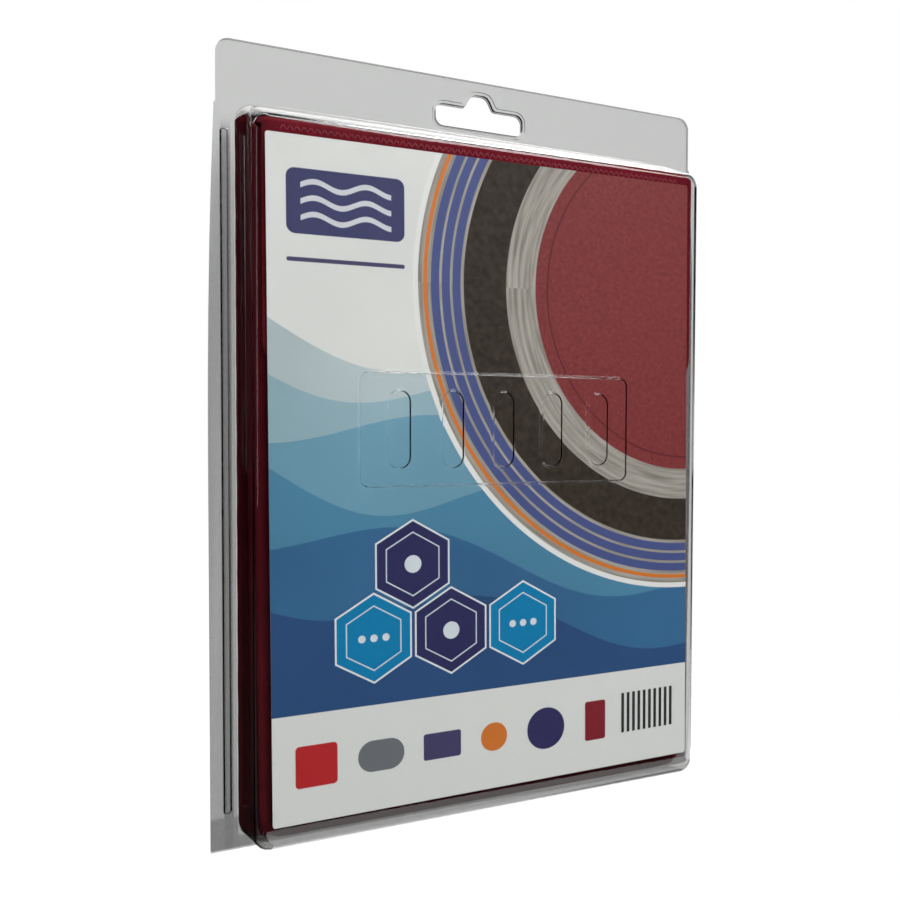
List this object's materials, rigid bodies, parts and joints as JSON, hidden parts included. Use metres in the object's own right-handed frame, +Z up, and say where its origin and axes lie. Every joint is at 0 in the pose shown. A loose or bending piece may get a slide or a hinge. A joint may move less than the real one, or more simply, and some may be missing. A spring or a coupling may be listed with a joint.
{
  "type": "insulin cooling case in a hanging clamshell pack",
  "caption": "Clear hinged clamshell with a hang slot, holding a burgundy fabric cooling wallet with quilted gel pouch and hook-and-loop flap behind a printed card.",
  "frame": {"origin": "top of the hang slot's crown on the back face, where the shop peg bears, on the pack's middle line", "axes": "+Z up the hanging pack, -Y out of its front towards the viewer, +X to the viewer's right"},
  "size_m": [0.1684, 0.0213, 0.2352],
  "materials": {
    "clear_plastic": "clear, glossy thermoformed sheet",
    "printed_board": "satin print",
    "burgundy_cloth": "woven, matt",
    "burgundy_tape": "woven tape",
    "hook_nylon": "hook side of a closure",
    "loop_nylon": "loop side of a closure",
    "black_cloth": "woven, matt",
    "black_tape": "woven tape",
    "gel_crystals": "dry granules"
  },
  "bodies": {
    "pack_back": {"back_shell": "clear_plastic", "cover_back_panel": "burgundy_cloth", "cover_front_panel": "burgundy_cloth", "front_loop_strip": "loop_nylon", "cover_left_binding": "burgundy_tape", "cover_right_binding": "burgundy_tape", "cover_bottom_binding": "burgundy_tape", "cover_mouth_binding": "burgundy_tape", "pouch_left_binding": "black_tape", "pouch_right_binding": "black_tape", "pouch_bottom_binding": "black_tape", "pouch_rear_panel_back_ply": "black_cloth", "pouch_rear_panel_front_ply": "black_cloth", "pouch_front_panel_back_ply": "black_cloth", "pouch_front_panel_front_ply": "black_cloth", "gel_charge_rear_1": "gel_crystals", "gel_charge_rear_2": "gel_crystals", "gel_charge_rear_3": "gel_crystals", "gel_charge_rear_4": "gel_crystals", "gel_charge_rear_5": "gel_crystals", "gel_charge_front_1": "gel_crystals", "gel_charge_front_2": "gel_crystals", "gel_charge_front_3": "gel_crystals", "gel_charge_front_4": "gel_crystals", "gel_charge_front_5": "gel_crystals"},
    "pack_front": {"front_shell": "clear_plastic", "insert_card": "printed_board"},
    "wallet_flap": {"cover_flap": "burgundy_cloth", "flap_hook_strip": "hook_nylon"}
  },
  "joints": [
    {"name": "front_shell_hinge", "type": "hinge", "parent": "pack_back", "child": "pack_front", "pos_m": [0, -0.00065, -0.2312], "axis": [1, 0, 0], "range_deg": [0, 175]},
    {"name": "flap_hinge", "type": "hinge", "parent": "pack_back", "child": "wallet_flap", "pos_m": [0, -0.0017, -0.0148], "axis": [-1, 0, 0], "range_deg": [0, 105]}
  ],
  "couplings": [
    {"joint": "flap_hinge", "follows": "front_shell_hinge", "ratio": 0.6}
  ]
}
